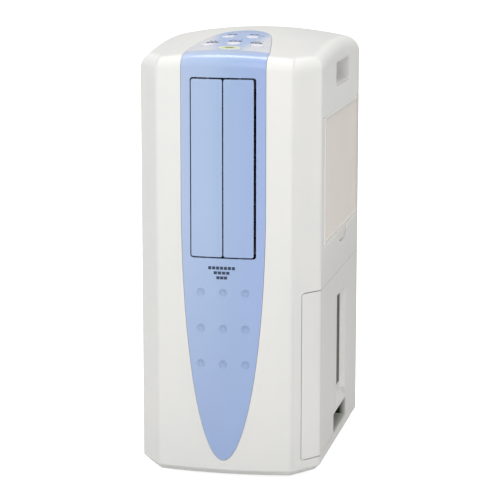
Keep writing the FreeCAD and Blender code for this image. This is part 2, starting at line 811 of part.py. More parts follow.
def accumulator_and_pipes():
    x, y, radius, tip = -60, 18, 17, 6
    shell = fuse(cyl(radius, 100, x, y, 120), cone(radius, tip, 14, x, y, 220),
                 cone(tip, radius, 14, x, y, 106))
    return [shell,
            riser(compressor_x, compressor_y, 235.4, 290, PIPE_YS[0]),
            riser(x, y, 234.4, 285, PIPE_YS[1])]


def coil(x0, x1):
    """Fin pack with clearance holes, and two staggered rows of tubes through it."""
    fin, count, run = 1.0, 37, coil_back - coil_front
    places = [(x0 + 10 + 16 * k, coil_low + 18 + 36 * j + 12 * k)
              for k in (0, 1) for j in range(6)]
    holes = Part.Compound([rod(4.0, run + 20, x, coil_front - 10, z, "y") for x, z in places])
    fins = []
    for i in range(count):
        y = coil_front + (run - fin) * i / (count - 1)
        plate = Part.makeBox(x1 - x0, fin, coil_high - coil_low, V(x0, y, coil_low))
        fins.append(plate.cut(holes))
    return fins + [rod(3.9, run + 8, x, coil_front - 4, z, "y") for x, z in places]


# ---- blower ----
def blower_rod(radius, length, x):
    return rod(radius, length, x, blower_y, blower_z, "x")


def scroll(radius, x0, x1, gap):
    """Drum with a duct to the front outlet."""
    mouth_y = -178
    duct = polygon((x0, mouth_y, 351 + gap), (x0, mouth_y, 627 - gap),
                   (x0, blower_y, blower_z + radius), (x0, blower_y, blower_z - radius))
    return blower_rod(radius, x1 - x0, x0).fuse(duct.extrude(V(x1 - x0, 0, 0)))


def blower_housing():
    x0, x1, shell = -50.0, 54.0, 2
    shape = scroll(blower_radius, x0, x1, 0)
    shape = shape.cut(scroll(blower_radius - shell, x0 + shell, x1 - shell, shell))
    shape = shape.cut(block(x0 + shell, x1 - shell, -190, -176, 353, 625))
    return shape.cut(blower_rod(62, 20, 45)).cut(blower_rod(20, 20, -58))


def blower_wheel():
    disc_x, ring_x, ring = -40, 41, 3
    shapes = [
        blower_rod(wheel_outer, 2, disc_x),
        blower_rod(wheel_outer, ring, ring_x).cut(blower_rod(wheel_outer - 5, ring, ring_x)),
        blower_rod(12, 24, disc_x),
        blower_rod(shaft_radius, 40, -79),
    ]
    root_z = blower_z + wheel_inner
    for i in range(36):
        blade = Part.makeBox(83, 1.4, wheel_outer - wheel_inner - 1,
                             V(disc_x + 1, blower_y - 0.7, root_z))
        blade.rotate(V(0, blower_y, root_z + 8), V(1, 0, 0), 28)
        blade.rotate(V(0, blower_y, blower_z), V(1, 0, 0), i * 10)
        shapes.append(blade)
    shapes.append(blower_rod(wheel_outer, ring, ring_x).cut(
        blower_rod(wheel_inner, ring, ring_x)))
    return join(shapes)


def blower_motor():
    y, z = blower_y, blower_z
    motor = fuse(cyl(34, 30, -84, y, z, "x"), cyl(16, 4, -55, y, z, "x"),
                 box(-84, -80, y - 42, y + 42, z - 8, z + 8))
    return cut(motor, cyl(shaft_radius + run_gap, 40, -80, y, z, "x"))


# ---- exhaust at the rear ----
def exhaust_rod(radius, length, y):
    return rod(radius, length, exhaust_x, y, exhaust_z, "y")


def exhaust_cyl(radius, length, y):
    return cyl(radius, length, exhaust_x, y, exhaust_z, "y")


def exhaust_fan():
    shapes = [exhaust_rod(22, 22, 152), exhaust_rod(shaft_radius, 30, 128)]
    centre = V(exhaust_x, 163, exhaust_z)
    for i in range(5):
        blade = Part.makeBox(30, 1.8, exhaust_radius - 26,
                             V(exhaust_x - 15, 162.1, exhaust_z + 18))
        blade.rotate(centre, V(0, 0, 1), 28)
        blade.rotate(centre, V(0, 1, 0), i * 72)
        shapes.append(blade)
    return join(shapes)


def exhaust_motor():
    bracket = box(exhaust_x - 60, exhaust_x + 60, 108, 113, exhaust_z - 6, exhaust_z + 6)
    return cut(fuse(exhaust_cyl(26, 34, 112), bracket),
               exhaust_cyl(shaft_radius + run_gap, 30, 124))


def fan_shroud():
    x, z, flange_y, guard_y = exhaust_x, exhaust_z, 184, 186
    flange = box(x - 82, x + 82, flange_y, guard_y, z - 86, z + 84)
    shroud = cut(fuse(exhaust_cyl(exhaust_radius + 4, 38, 150), flange),
                 exhaust_cyl(exhaust_radius - 2, 60, 140))
    bars = [box(x - 68, x + 68, guard_y, 187.8, z - 56 + 14 * i, z - 54 + 14 * i)
            for i in range(9)]
    upright = box(x - 1.2, x + 1.2, guard_y, 188, z - 68, z + 68)
    guard = common(fuse(*bars, upright), exhaust_cyl(exhaust_radius - 1, 3, 185.8))
    return fuse(shroud, guard)


def exhaust_collar():
    spigot_y = 188.6
    collar_end = bulge - front_y    # as far back as the front bulge reaches forwards
    shape = exhaust_rod(exhaust_radius - 4.4, collar_end - spigot_y, spigot_y)
    shape = shape.fuse(exhaust_rod(exhaust_radius, collar_end - outer_rear, outer_rear))
    shape = shape.fuse(exhaust_rod(exhaust_radius + 6, 2.0, outer_rear))
    return shape.cut(exhaust_rod(exhaust_radius - 7, 60, 180))


# ---- front outlet ----
def louvre_frame():
    shape = block(-57.5, 57, -222, -182.5, 343.5, 634)
    shape = shape.common(form(front_wall + 0.25))
    shape = shape.cut(rounded("y", -53.6, 53.2, AHEAD, -180, 348.6, 629.4, 5))
    for x in (louvre_left_x, louvre_right_x):
        shape = shape.cut(rod(pin_radius + run_gap, 320, x, louvre_axis_y, 330))
    return shape


def outlet_guard():
    rim = cut(box(-53.2, 52.8, -181.6, -178.4, 349, 629),
              box(-50, 49.6, -190, -170, 352.2, 625.8))
    bars = []
    for i in range(10):
        z = 376 + 25 * i
        bars.append(box(-51, 50.6, -181.2, -178.8, z, z + 2.2))
    return fuse(rim, *bars, box(-1, 1, -181, -179, 350, 628))


def vane(x0, x1, pin_x):
    """Turning vane with spine, pivot pin and a crank at the bottom."""
    y = louvre_axis_y
    low, high = vent_low + 6, vent_high - 6
    pin_low, pin_high = 322, 632
    outline = rounded("y", x0, x1, AHEAD, -190, vent_low + 2.2, vent_high - 2.5, 3.2)
    blade = casing.cut(form(3.4)).common(outline)
    spine = block(pin_x - 2.2, pin_x + 2.2, -217.5, y, low, high).common(form(2.6))
    eye = rod(3.6, high - low, pin_x, y, low)
    pin = rod(pin_radius, pin_high - pin_low, pin_x, y, pin_low)
    arm = block(pin_x - 3, pin_x + 3, y - 3, crank_y + 3, 336.2, 339.0)
    crank_pin = rod(1.6, 5.4, pin_x, crank_y, 337)
    return blade.multiFuse([spine, eye, pin, arm, crank_pin])


def louvre_left():
    return vane(vent_left + 2.2, -1.0, louvre_left_x)


def louvre_right():
    return vane(1.0, vent_right - 4.0, louvre_right_x)


def louvre_link():
    left, right = louvre_left_x, louvre_right_x
    z0, z1 = 339.6, 341.6
    link = fuse(
        box(left - 3, right + 3, crank_y + 9, crank_y + 14, z0, z1),
        cyl(3.6, 2, left, crank_y, z0),
        cyl(3.6, 2, right, crank_y, z0),
        box(left - 3, left + 3, crank_y, crank_y + 10, z0, z1),
        box(right - 3, right + 3, crank_y, crank_y + 10, z0, z1),
    )
    return cut(link, cyl(1.66, 10, left, crank_y, 336), cyl(1.75, 10, right, crank_y, 336))


def louvre_motor():
    x, y, z = louvre_left_x, louvre_axis_y, 316
    motor = fuse(cyl(12, 16, x, y + 8, z), box(x - 17, x + 17, y + 4, y + 12, z, z + 2))
    return cut(motor, cyl(pin_radius + run_gap, 12, x, y, 321))


# ---- air filter on the right side, hinged at its top edge ----
def filter_block(x0, x1, front, back, edge, radius):
    """Rounded block in from the filter's front, back, and low and high edges."""
    return rounded("x", x0, x1, filter_front + front, filter_back - back,
                   filter_low + edge, filter_high - edge, radius)


def filter_frame():
    outer_x = 142.4
    shape = filter_block(134.6, outer_x, 0.3, -0.6, 0, 4)
    shape = shape.makeFillet(3.5, [e for e in shape.Edges if e.BoundBox.XMin > outer_x - 0.1])
    shape = shape.cut(filter_block(139.2, 150, 8, 7, 8, 3))
    shape = shape.cut(filter_block(130, 150, 12, 11, 12, 2))
    tab = rod(62, 2.2, 138.6, TAB_Y, TAB_Z, "x").common(tab_zone(341, 359))
    rib_x0, rib_x1 = 134.8, 137.4
    ribs = []
    for i in range(1, 5):
        y = filter_front + 8 + 61 * i
        ribs.append(block(rib_x0, rib_x1, y, y + 2, filter_low + 6, filter_high - 6))
    for i in range(2):
        z = 424 + 66 * i
        ribs.append(block(rib_x0, rib_x1, filter_front + 6, filter_back - 6, z, z + 2))
    for y in HINGE_AT:
        shape = shape.cut(block(133, 141.2, y - 0.6, y + HINGE_LUG + 0.6, hinge_z - 4.0, 570))
    pins = [rod(hinge_pin, HINGE_LUG + 4, hinge_x, y - 2, hinge_z, "y") for y in HINGE_AT]
    return one_piece("filter_frame", shape.multiFuse([tab] + ribs + pins))


def filter_mesh():
    return filter_block(139.4, 140.6, 8.3, 7.3, 8.3, 3)


# ---- electrics ----
BOARD = 1.6                     # circuit board thickness
BOX_X, BOX_Y = -84, -108        # middle of the control box


def control_board():
    return padded("control_board", (0, 0, 641.5), 110, 150, BOARD, centre_y=-100)


def control_box():
    length_x, length_y, box_height, shell = 94, 84, 190, 2
    body = padded("control_box", (BOX_X, BOX_Y, 60), length_x, length_y, box_height)
    inside = sketch_rect(body, length_x - 2 * shell, length_y - 2 * shell, lift=shell)
    hollow = feature(body, "Pocket", inside, box_height - 2 * shell)
    hollow.Reversed = True      # cuts upwards from the floor of the box
    return body


def main_board():
    """Board with its capacitors and a flat block."""
    low = 102
    return [padded("main_board", (BOX_X, BOX_Y, 100), 84, 74, BOARD),
            cyl(16, 60, -102, -122, low), cyl(10, 24, -62, -120, low),
            box(-116, -70, -92, -80, low, 124)]


# centre line of the cord from its entry, coiled behind the rear panel: x, y, z
CORD_PATH = [
    (CORD_X, 200, CORD_Z), (-100, 206, 80), (-118, 209, 120), (-118, 209, 240),
    (-95, 209, 268), (-72, 209, 240), (-72, 209, 150), (-84, 209, 120),
    (-96, 209, 150), (-96, 209, 226),
]


def power_cord():
    points = [V(*point) for point in CORD_PATH]
    curve = Part.BSplineCurve()
    curve.interpolate(points)
    start = curve.tangent(curve.FirstParameter)[0]
    ring = Part.Wire([Part.makeCircle(3.4, points[0], start)])
    cord = Part.Wire([curve.toShape()]).makePipeShell([ring], True, True)
    grommet = rod(5.1, 14, CORD_X, 190, CORD_Z, "y")
    grommet = grommet.fuse(rod(8, 3, CORD_X, outer_rear, CORD_Z, "y"))
    plug = rod(10, 30, *CORD_PATH[-1])
    for x in (-102.5, -91):
        plug = plug.fuse(Part.makeBox(1.5, 6, 18, V(x, 206, 255)))
    return [grommet.fuse(cord).removeSplitter(), plug]


def drain_spout():
    """Hose spout for continuous draining."""
    spout = fuse(cyl(8, 24, DRAIN_X, 194.8, DRAIN_Z, "y"),
                 cyl(11, 2.2, DRAIN_X, outer_rear, DRAIN_Z, "y"))
    return cut(spout, cyl(5.5, 40, DRAIN_X, 190, DRAIN_Z, "y"))


def case_screws():
    """Rear fixing screws with cross slots."""
    screws = []
    long, short = 2.2, 0.4      # half sizes of a slot
    y0, y1 = rear_y + 1.0, rear_y + 3
    for x, z in SCREWS:
        screw = rod(3.6, 1.6, x, rear_y + 0.1, z, "y")
        screw = screw.fuse(rod(1.6, 9, x, rear_y - 8, z, "y"))
        screw = screw.cut(block(x - long, x + long, y0, y1, z - short, z + short))
        screw = screw.cut(block(x - short, x + short, y0, y1, z - long, z + long))
        screws.append(screw)
    return screws


# ---- build: a piece takes the name of its function ----
for make in (front_panel, front_inlay, upper_casing, left_side_panel, right_side_panel,
             rear_panel, tank_cover, level_window, control_bezel, base_pan,
             blower_housing, blower_wheel, exhaust_fan, exhaust_collar, louvre_frame,
             louvre_left, louvre_right, filter_frame, filter_mesh):
    solid(make.__name__, make())
for entry in KEYS:
    solid(entry[0], key(*entry))
casters()
for make in (bay_partition, drain_tray, air_divider, tank_container, tank_lid, tank_handle,
             tank_float, full_switch, compressor, blower_motor, exhaust_motor, fan_shroud,
             outlet_guard, louvre_link, louvre_motor, control_board, control_box,
             drain_spout):
    node(make.__name__, make())
for make in (indicator_lenses, compressor_mounts, accumulator_and_pipes, handle_cups,
             main_board, power_cord, case_screws):
    group(make.__name__, make())
group("evaporator", coil(90.0, 126.0))
group("condenser", coil(-126.0, -90.0))

# ---- check and write ----
doc.recompute()
bad = []
for obj in doc.Objects:
    state = [str(flag) for flag in obj.State]
    if "Invalid" in state or "Error" in state:
        bad.append((obj.Name, obj.Label, state))
for name, obj in nodes.items():
    if obj.Shape.isNull() or not obj.Shape.isValid() or not obj.Shape.Solids:
        bad.append((name, "shape"))
if bad:
    raise RuntimeError("failed objects: %s" % bad)
for name, obj in nodes.items():
    obj.Shape.exportStep("parts/%s.step" % name)
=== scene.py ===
"""Looks and studio for a floor-standing air appliance with a compressor, blower and water tank.

It stands on z = 0, centred on x = 0. The bulged front faces -Y and the control film lies on
top. A slanted facet joins the front to each side. Lengths are metres.
"""
import bpy, bmesh, math
from mathutils import Vector, Matrix


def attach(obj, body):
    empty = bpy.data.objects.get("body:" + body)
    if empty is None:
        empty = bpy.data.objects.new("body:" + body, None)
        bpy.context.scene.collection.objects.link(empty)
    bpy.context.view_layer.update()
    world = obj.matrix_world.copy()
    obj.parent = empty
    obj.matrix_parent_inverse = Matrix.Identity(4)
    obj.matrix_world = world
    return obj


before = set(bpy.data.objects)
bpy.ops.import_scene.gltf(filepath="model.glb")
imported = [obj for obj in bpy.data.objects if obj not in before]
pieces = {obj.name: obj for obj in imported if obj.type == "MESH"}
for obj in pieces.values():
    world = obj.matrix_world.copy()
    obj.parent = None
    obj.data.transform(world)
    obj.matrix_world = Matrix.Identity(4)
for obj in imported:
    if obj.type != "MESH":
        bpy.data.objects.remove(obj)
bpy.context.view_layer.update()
scene = bpy.context.scene

# ------------------------------------------------------------------ body dimensions
HALF_WIDTH = 0.1425         # side faces at x = +-HALF_WIDTH
REAR_Y = 0.197
CREASE_X = 0.1073           # crease between front and facet
FACET_BACK_Y = -0.1603      # crease between facet and side
FRONT_Y = -0.209            # front face at CREASE_X
BULGE = 0.0105              # how far the middle of the front stands out from FRONT_Y
FRONT_RADIUS = (CREASE_X ** 2 + BULGE ** 2) / (2 * BULGE)


# ------------------------------------------------------------------ shader helpers
def srgb(*levels):
    """sRGB 0-255 levels to a linear RGBA colour"""
    linear = []
    for level in levels:
        v = level / 255.0
        linear.append(v / 12.92 if v <= 0.04045 else ((v + 0.055) / 1.055) ** 2.4)
    return (*linear, 1.0)


def tint(colour, factor):
    return tuple(c * factor for c in colour[:3]) + (1,)


class Shader:
    """A material with a Principled surface, and short calls for the nodes that feed it"""

    def __init__(self, name):
        self.material = bpy.data.materials.new(name)
        self.material.use_nodes = True
        self.tree = self.material.node_tree
        self.tree.nodes.clear()
        output = self.add("ShaderNodeOutputMaterial")
        self.principled = self.add("ShaderNodeBsdfPrincipled")
        self.feed(output.inputs[0], self.principled.outputs[0])
        self.coords = self.add("ShaderNodeTexCoord").outputs["Object"]

    def add(self, kind, **settings):
        """a new node; each setting is an input value or a property"""
        node = self.tree.nodes.new(kind)
        for name, value in settings.items():
            if name in node.inputs.keys():
                node.inputs[name].default_value = value
            else:
                setattr(node, name, value)
        return node

    def feed(self, socket, value):
        """links a socket, or sets a plain value"""
        if isinstance(value, bpy.types.NodeSocket):
            self.tree.links.new(value, socket)
        else:
            socket.default_value = value

    def surface(self, name, value):
        self.feed(self.principled.inputs[name], value)

    def split(self, vector):
        node = self.add("ShaderNodeSeparateXYZ")
        self.feed(node.inputs[0], vector)
        return node.outputs

    def xyz(self):
        return self.split(self.coords)

    def normal(self):
        return self.split(self.add("ShaderNodeNewGeometry").outputs["Normal"])

    def noise(self, scale, detail=2.0, rough=0.5, stretch=None):
        node = self.add("ShaderNodeTexNoise", Scale=scale, Detail=detail, Roughness=rough)
        vector = self.coords
        if stretch:
            mapping = self.add("ShaderNodeMapping", Scale=stretch)
            self.feed(mapping.inputs["Vector"], vector)
            vector = mapping.outputs[0]
        self.feed(node.inputs["Vector"], vector)
        return node.outputs["Fac"]

    def ramp(self, factor, stops):
        node = self.add("ShaderNodeValToRGB")
        elements = node.color_ramp.elements
        while len(elements) < len(stops):
            elements.new(0.5)
        for element, (position, colour) in zip(elements, stops):
            element.position = position
            element.color = colour
        self.feed(node.inputs["Fac"], factor)
        return node.outputs["Color"]

    def mix(self, factor, a, b, blend="MIX"):
        node = self.add("ShaderNodeMix", data_type="RGBA", blend_type=blend)
        for i, value in ((0, factor), (6, a), (7, b)):      # 6 and 7 are the colour inputs
            self.feed(node.inputs[i], value)
        return node.outputs[2]

    def math(self, operation, *values, clamp=False):
        node = self.add("ShaderNodeMath", operation=operation, use_clamp=clamp)
        for socket, value in zip(node.inputs, values):
            self.feed(socket, value)
        return node.outputs[0]

    def mul(self, product, *factors):
        for factor in factors:
            product = self.math("MULTIPLY", product, factor)
        return product

    def above(self, value, edge):
        return self.math("GREATER_THAN", value, edge)

    def below(self, value, edge):
        return self.math("LESS_THAN", value, edge)

    def band(self, value, limits):
        """1 between the two limits, 0 outside"""
        return self.mul(self.above(value, limits[0]), self.below(value, limits[1]))

    def remap(self, value, source, target=(0, 1), smooth=False):
        """carries the source range to the target range, clamped"""
        node = self.add("ShaderNodeMapRange")
        if smooth:
            node.interpolation_type = "SMOOTHSTEP"
        self.feed(node.inputs["Value"], value)
        limits = zip(("From Min", "From Max", "To Min", "To Max"), (*source, *target))
        for name, limit in limits:
            node.inputs[name].default_value = limit
        return node.outputs["Result"]

    def spread(self, noise, low, high, tail=0.3):
        """noise widened to run from low to high, cutting off a tail at each end"""
        return self.remap(noise, (tail, 1 - tail), (low, high))

    def mottle(self, noise, a, b, tail=0.3):
        return self.mix(self.spread(noise, 0, 1, tail), a, b)

    def cloud(self, a, b):
        """broad, faint variation between two colours"""
        return self.mottle(self.noise(7.0, detail=3.0, rough=0.55), a, b, tail=0.35)

    def glow(self, mask, strength):
        """a little warm emission where the mask is 1, used as painted light"""
        self.surface("Emission Color", (1, 0.99, 0.97, 1))
        self.surface("Emission Strength", self.mul(mask, strength))

    def bump(self, height, strength, distance, bevel=None, crease=False):
        node = self.add("ShaderNodeBump", Strength=strength, Distance=distance)
        self.feed(node.inputs["Height"], height)
        if bevel:
            normal = self.add("ShaderNodeBevel", Radius=bevel, samples=6).outputs[0]
            if crease:
                normal = soft_crease(self, normal)
            self.feed(node.inputs["Normal"], normal)
        self.surface("Normal", node.outputs[0])
        return node


def soft_crease(k, normal):
    """turns the normal about Z near the vertical creases, as a moulded radius does"""
    front_radius, side_radius = 0.0065, 0.0045      # reach on the facet from each crease
    side_reach = rear_radius = 0.012
    facet_stretch = 1.705                           # length along the facet per length in x
    front_turn, side_turn, rear_turn = (math.radians(a) for a in (21.5, 17.9, 45))
    front_limit_y = -0.19                           # the front face lies before this
    rear_face_y, side_face_x = 0.195, 0.1405        # where rear and side faces count as such

    x, y, _ = k.xyz()
    abs_x = k.math("ABSOLUTE", x)

    def minus(a, b):
        return k.math("SUBTRACT", a, b)

    def fall(distance, reach):
        """1 at the crease, falling to 0 at its reach"""
        ratio = k.math("DIVIDE", distance, reach, clamp=True)
        return k.math("SUBTRACT", 1.0, ratio, clamp=True)

    before_side = k.below(y, FACET_BACK_Y)
    on_facet = k.mul(k.above(abs_x, CREASE_X), before_side)
    front = k.mul(fall(minus(CREASE_X, abs_x), front_radius),
                  k.below(abs_x, CREASE_X), k.below(y, front_limit_y))
    facet_front = k.mul(fall(k.mul(minus(abs_x, CREASE_X), facet_stretch), front_radius), on_facet)
    facet_back = k.mul(fall(k.mul(minus(HALF_WIDTH, abs_x), facet_stretch), side_radius), on_facet)
    side = k.mul(fall(minus(y, FACET_BACK_Y), side_reach), minus(1.0, before_side))
    side_rear = k.mul(fall(minus(REAR_Y, y), rear_radius),
                      k.above(abs_x, side_face_x), k.below(y, rear_face_y))
    rear = k.mul(fall(minus(HALF_WIDTH, abs_x), rear_radius), k.above(y, rear_face_y))

    angle = k.mul(minus(front, facet_front), front_turn)
    angle = k.math("ADD", angle, k.mul(minus(facet_back, side), side_turn))
    angle = k.math("ADD", angle, k.mul(minus(side_rear, rear), rear_turn))
    angle = k.mul(angle, k.math("SIGN", x))
    turn = k.add("ShaderNodeVectorRotate", rotation_type="Z_AXIS")
    k.feed(turn.inputs["Vector"], normal)
    k.feed(turn.inputs["Angle"], angle)
    return turn.outputs[0]


# ------------------------------------------------------------------ moulded plastic
def moulded_colour(k, rgb, foot_darkening=0.0, painted_shade=None):
    """faint flow variation and rubbed edges; the colour is made darker towards the foot by the
    given weight

    painted shade is given as (low z, high z, tone at low z, tone at high z); faces turned up get
    painted shade as well
    """
    base = srgb(*rgb)
    warmth = 0.012
    warm = (min(1, base[0] * (1 + warmth)), base[1], base[2] * (1 - warmth), 1)
    colour = k.cloud(tint(base, 0.97), warm)
    if foot_darkening:
        foot = k.remap(k.xyz()[2], (0.0, 0.10), (foot_darkening, 0.0))
        colour = k.mix(foot, colour, tint(base, 0.72))
    pointiness = k.add("ShaderNodeNewGeometry").outputs["Pointiness"]
    edge = k.remap(pointiness, (0.52, 0.60), (0.0, 0.35))
    colour = k.mix(edge, colour, tuple(min(1, c * 1.06 + 0.01) for c in base[:3]) + (1,))
    if painted_shade:
        tone = k.remap(k.xyz()[2], painted_shade[:2], painted_shade[2:])
        # painted shade: faces turned up are darkened as well
        tone = k.mul(tone, k.remap(k.normal()[2], (0.84, 0.975), (1.0, 0.845)))
        grey = k.add("ShaderNodeCombineColor")
        for i in range(3):
            k.feed(grey.inputs[i], tone)
        colour = k.mix(1.0, colour, grey.outputs[0], "MULTIPLY")
    return colour


def grained_finish(k, rough, grain, relief, bevel=0.0012, crease=False, coat=None):
    """fine eroded grain: grain is its noise scale, relief its bump strength"""
    fine = k.noise(grain, rough=0.6)
    broad = k.spread(k.noise(60.0), rough - 0.03, rough + 0.04)
    k.surface("Roughness", k.math("ADD", broad, k.spread(fine, -0.02, 0.03)))
    k.bump(fine, strength=relief, distance=0.0004, bevel=bevel, crease=crease)
    k.surface("Specular IOR Level", 0.45)
    if coat is not None:
        k.surface("Coat Weight", coat)
        k.surface("Coat Roughness", 0.25)


def moulded(name, rgb, rough, grain, relief, foot_darkening=0.0, painted_shade=None, coat=0.0, **finish):
    k = Shader(name)
    k.surface("Base Color", moulded_colour(k, rgb, foot_darkening, painted_shade))
    grained_finish(k, rough, grain, relief, coat=coat, **finish)
    return k.material


def cover_material():
    """side plastic of the tank cover, with a deep hand-hold falling to a dark inner wall; the
    hold's darkness is painted shade
    """
    hold_y, hold_z, hold_x = (-0.0365, 0.0895), (0.0316, 0.0646), 0.1405
    deep_x, deep_run = 0.1375, 0.0060       # where the hold's wall starts to darken, and over what
    slot_x, slot_y, slot_z = (0.1335, 0.1424), (0.060, 0.0815), (0.081, 0.2565)
    flange_y, flange_x = -0.1600, 0.1210
    flange_bottom, flange_top = 0.03125, 0.29475

    k = Shader("cover_white")
    colour = moulded_colour(k, (231, 230, 228), foot_darkening=0.15)
    # the masks read a coordinate node of their own
    k.coords = k.add("ShaderNodeTexCoord").outputs["Object"]
    x, y, z = k.xyz()
    facing = k.normal()

    def ramp_down(value, start, run):
        return k.math("DIVIDE", k.math("SUBTRACT", start, value), run, clamp=True)

    # painted shade: faces turned to +X are darkened
    flat = k.math("DIVIDE", k.math("SUBTRACT", facing[0], 0.90), 0.08, clamp=True)
    colour = k.mix(flat, colour, srgb(221, 219, 216))
    # painted shade in the hand-hold: its floor and wall are darkened, the wall to near black
    # deeper in
    hold = k.mul(k.band(y, hold_y), k.band(z, hold_z))
    recessed = ramp_down(x, hold_x, 0.0020)
    hold_floor = k.mul(hold, k.above(facing[2], 0.5), recessed)
    colour = k.mix(k.mul(hold_floor, 0.85), colour, srgb(204, 204, 192))
    wall = k.mul(hold, k.below(facing[2], 0.5), recessed)
    colour = k.mix(k.mul(wall, 0.8), colour, srgb(176, 180, 168))
    colour = k.mix(k.mul(wall, ramp_down(x, deep_x, deep_run)), colour, srgb(30, 42, 37))
    # painted shade of the flange's gap: a dark band at its upper and lower ends on the facet
    on_facet = k.mul(k.below(y, flange_y), k.above(x, flange_x))
    ends = k.math("MAXIMUM", k.above(z, flange_top), k.below(z, flange_bottom))
    colour = k.mix(k.mul(on_facet, ends, 0.85), colour, srgb(120, 118, 112))
    # painted light: the slot's face turned to the front is made bright
    slot = k.mul(k.band(y, slot_y), k.mul(k.band(z, slot_z), k.band(x, slot_x)))
    colour = k.mix(k.mul(slot, k.below(facing[1], -0.3)), colour, srgb(236, 235, 231))
    k.surface("Base Color", colour)
    grained_finish(k, rough=0.44, grain=1500, relief=0.10, crease=True, coat=0.0)
    return k.material


def panel_material():
    """side plastic with painted light on the pale ledge below the filter, and painted shade in the
    groove before it and on the flat side low down
    """
    groove_y, groove_z, groove_x = (-0.1385, -0.1275), (0.356, 0.564), 0.1419
    ledge_x, ledge_y, ledge_z = (0.128, 0.1424), (-0.135, 0.194), (0.3515, 0.3590)

    k = Shader("side_white_right")
    base = srgb(233, 232, 230)
    x, y, z = (k.xyz()[i] for i in range(3))
    facing_x = k.normal()[0]
    colour = k.cloud(tint(base, 0.97), base)
    # painted shade: the flat side is darker low down
    flat = k.remap(facing_x, (0.90, 0.98))
    low = k.remap(z, (0.30, 0.40), (1.0, 0.0))
    colour = k.mix(k.mul(flat, low), colour, srgb(220, 219, 216))
    # painted shade in the groove before the filter
    groove = k.mul(k.band(y, groove_y), k.band(z, groove_z), k.below(x, groove_x))
    colour = k.mix(groove, colour, srgb(128, 127, 124))
    # painted light: the ledge is pale and glows a little
    ledge = k.mul(k.band(y, ledge_y), k.band(z, ledge_z), k.band(x, ledge_x),
                  k.below(facing_x, 0.9))
    k.surface("Base Color", k.mix(ledge, colour, srgb(248, 247, 244)))
    k.glow(ledge, strength=0.06)
    grained_finish(k, rough=0.44, grain=1500.0, relief=0.10, crease=True)
    return k.material


def filter_material():
    """filter frame: warm plastic whose rounded rim carries a painted highlight, pale and glowing a
    little
    """
    rim_x, rim_back_y = 0.1385, 0.185

    k = Shader("filter_beige")
    base = srgb(228, 224, 218)
    colour = k.cloud(tint(base, 0.97), base)
    # painted highlight on the rounded rim
    rim = k.mul(k.remap(k.normal()[0], (0.985, 0.94)), k.above(k.xyz()[0], rim_x),
                k.below(k.xyz()[1], rim_back_y))
    k.surface("Base Color", k.mix(rim, colour, srgb(250, 249, 245)))
    k.glow(rim, strength=0.03)
    k.surface("Roughness", k.spread(k.noise(60.0), 0.43, 0.50))
    k.bump(k.noise(1300.0, rough=0.6), strength=0.12, distance=0.0004, bevel=0.0008)
    return k.material


# ------------------------------------------------------------------ other materials
def power_material():
    """green power key: pale rim, olive middle"""
    half_width, half_depth, centre_y = 0.017, 0.0085, -0.1715

    k = Shader("key_green")
    x, y, _ = k.xyz()
    across = k.math("DIVIDE", x, half_width)
    along = k.math("DIVIDE", k.math("ADD", y, -centre_y), half_depth)
    radius = k.math("SQRT", k.math("ADD", k.mul(across, across), k.mul(along, along)))
    k.surface("Base Color", k.ramp(radius, [
        (0.0, srgb(96, 102, 52)), (0.34, srgb(128, 134, 70)), (0.52, srgb(196, 204, 140)),
        (0.80, srgb(222, 230, 190)), (1.0, srgb(240, 243, 228))]))
    k.surface("Roughness", k.spread(k.noise(120.0), 0.22, 0.30))
    k.surface("Coat Weight", 0.4)
    k.bump(k.noise(2200.0), strength=0.03, distance=0.0003, bevel=0.0010)
    return k.material


def metal(name, rgb, rough, brushed=(1, 1, 1)):
    """brushed stretches the noise scale along x, y and z"""
    k = Shader(name)
    base = srgb(*rgb)
    streaks = k.noise(40.0, detail=4.0, rough=0.6, stretch=brushed)
    k.surface("Base Color", k.mottle(streaks, tint(base, 0.86), base))
    k.surface("Roughness", k.spread(streaks, rough - 0.08, rough + 0.1, tail=0.25))
    k.surface("Metallic", 1.0)
    k.bump(streaks, strength=0.06, distance=0.0004, bevel=0.0006)
    return k.material


def dimple_normal(k, x, z):
    """normal of the front's nine dimples, turned harder at their rims than the shallow form"""
    pitch, radius, limit_x = 0.035, 0.0075, 0.0455
    rows_z = (0.297, 0.2405, 0.1845)

    column = k.mul(k.math("ROUND", k.math("DIVIDE", x, pitch)), pitch)
    off_x = k.math("SUBTRACT", x, column)
    height = None
    for row_z in rows_z:
        off_z = k.math("SUBTRACT", z, row_z)
        square = k.math("ADD", k.mul(off_x, off_x), k.mul(off_z, off_z))
        row = k.remap(k.math("SQRT", square), (0.0, radius), (1.0, 0.0), smooth=True)
        height = row if height is None else k.math("MAXIMUM", height, row)
    height = k.mul(height, k.below(k.math("ABSOLUTE", x), limit_x))
    node = k.add("ShaderNodeBump", Strength=1.0, Distance=0.0022, invert=True)
    k.feed(node.inputs["Height"], height)
    return node.outputs[0]


def inlay_material(name, bevel=None, dimples=False):
    """satin blue face with pearl fleck under a clear coat; its sweep of tone is painted shade,
    darker to the right and towards the bottom
    """
    k = Shader(name)
    x, z = k.xyz()[0], k.xyz()[2]
    # painted shade: the blue darkens to the right and towards the bottom
    colour = k.ramp(k.remap(x, (-0.066, 0.066)), [
        (0.0, srgb(178, 195, 228)), (0.35, srgb(170, 192, 226)),
        (0.62, srgb(160, 184, 222)), (1.0, srgb(160, 180, 226))])
    colour = k.mix(k.remap(z, (0.04, 0.42), (1.0, 0.0)), colour, srgb(150, 172, 214))
    fleck = k.remap(k.noise(2600.0, detail=1.0), (0.55, 0.75), (0.0, 0.015))
    k.surface("Base Color", k.mix(fleck, colour, srgb(225, 234, 250)))
    k.surface("Roughness", k.remap(z, (0.0, 0.7), (0.31, 0.29)))
    grain = k.bump(k.noise(900.0), strength=0.02, distance=0.0003, bevel=bevel)
    if dimples:
        k.feed(grain.inputs["Normal"], dimple_normal(k, x, z))
    k.surface("Coat Weight", 1.0)
    k.surface("Coat Roughness", 0.26)
    return k.material


